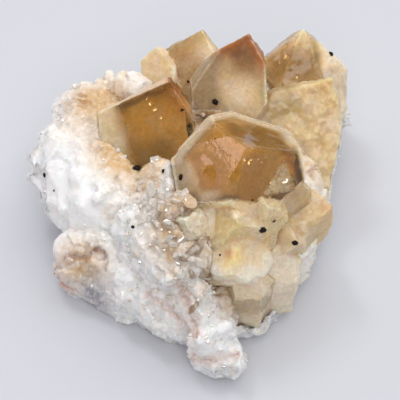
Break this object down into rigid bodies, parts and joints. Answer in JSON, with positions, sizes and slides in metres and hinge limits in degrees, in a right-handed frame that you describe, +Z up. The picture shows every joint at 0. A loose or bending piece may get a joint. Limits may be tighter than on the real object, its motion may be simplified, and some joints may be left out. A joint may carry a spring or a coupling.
{
  "type": "citrine crystal cluster",
  "caption": "Hand-sized cluster of stout six-sided amber quartz crystals on a broken lump of massive white quartz, cut flat to stand.",
  "frame": {"origin": "on the flat cut that the rock stands on, under the middle of the cluster", "axes": "+Z up out of the cut, the way the crystals point; +Y along the longer side, from the toe of the rock to the row of crystals at the back"},
  "size_m": [0.0961, 0.1016, 0.054],
  "materials": {
    "citrine": "clear to frosted amber quartz",
    "massive_quartz": "broken white massive quartz"
  },
  "bodies": {
    "root": {"citrine_crystals": "citrine", "quartz_matrix": "massive_quartz"}
  },
  "joints": []
}
